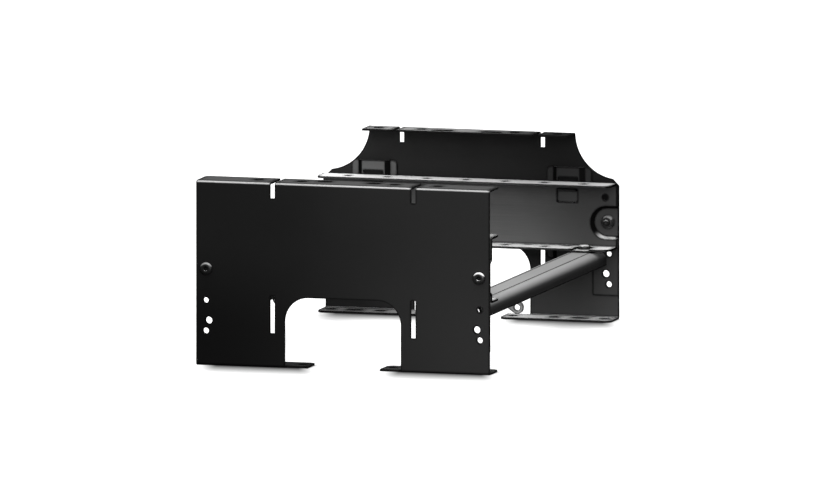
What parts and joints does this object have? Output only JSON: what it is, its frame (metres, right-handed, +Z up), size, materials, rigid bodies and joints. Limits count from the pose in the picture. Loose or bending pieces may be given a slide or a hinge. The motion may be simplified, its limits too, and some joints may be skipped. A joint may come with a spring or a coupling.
{
  "type": "rack cable trough",
  "caption": "Open rack-top cable trough: two folded sheet walls with feet and top lips, inner channels and round-shouldered cross rails that carry cables.",
  "frame": {"origin": "on the floor plane under the middle of the trough", "axes": "+X to the right along the walls, +Y from the front wall to the rear wall, +Z up"},
  "size_m": [0.3, 0.4666, 0.183],
  "materials": {
    "wall_paint": "satin black powder coat",
    "channel_metal": "satin graphite, rubbed light on its upper faces",
    "rail_metal": "satin light grey",
    "bracket_paint": "satin dark grey powder coat",
    "screw_black": "black oxide",
    "bolt_zinc": "bright zinc plate"
  },
  "bodies": {
    "root": {"front_channel": "channel_metal", "front_left_channel_nut": "screw_black", "front_left_channel_screw": "screw_black", "front_left_doubler": "wall_paint", "front_left_hat_bracket": "bracket_paint", "front_left_rail_bolt": "bolt_zinc", "front_left_rail_nut": "bolt_zinc", "front_right_channel_nut": "screw_black", "front_right_channel_screw": "screw_black", "front_right_doubler": "wall_paint", "front_right_hat_bracket": "bracket_paint", "front_right_rail_bolt": "bolt_zinc", "front_right_rail_nut": "bolt_zinc", "front_wall": "wall_paint", "left_rail": "rail_metal", "left_rail_eye": "rail_metal", "rear_channel": "channel_metal", "rear_left_channel_nut": "screw_black", "rear_left_channel_screw": "screw_black", "rear_left_doubler": "wall_paint", "rear_left_hat_bracket": "bracket_paint", "rear_left_rail_bolt": "bolt_zinc", "rear_left_rail_nut": "bolt_zinc", "rear_right_channel_nut": "screw_black", "rear_right_channel_screw": "screw_black", "rear_right_doubler": "wall_paint", "rear_right_hat_bracket": "bracket_paint", "rear_right_rail_bolt": "bolt_zinc", "rear_right_rail_nut": "bolt_zinc", "rear_wall": "wall_paint", "right_rail": "rail_metal", "right_rail_eye": "rail_metal"}
  },
  "joints": []
}
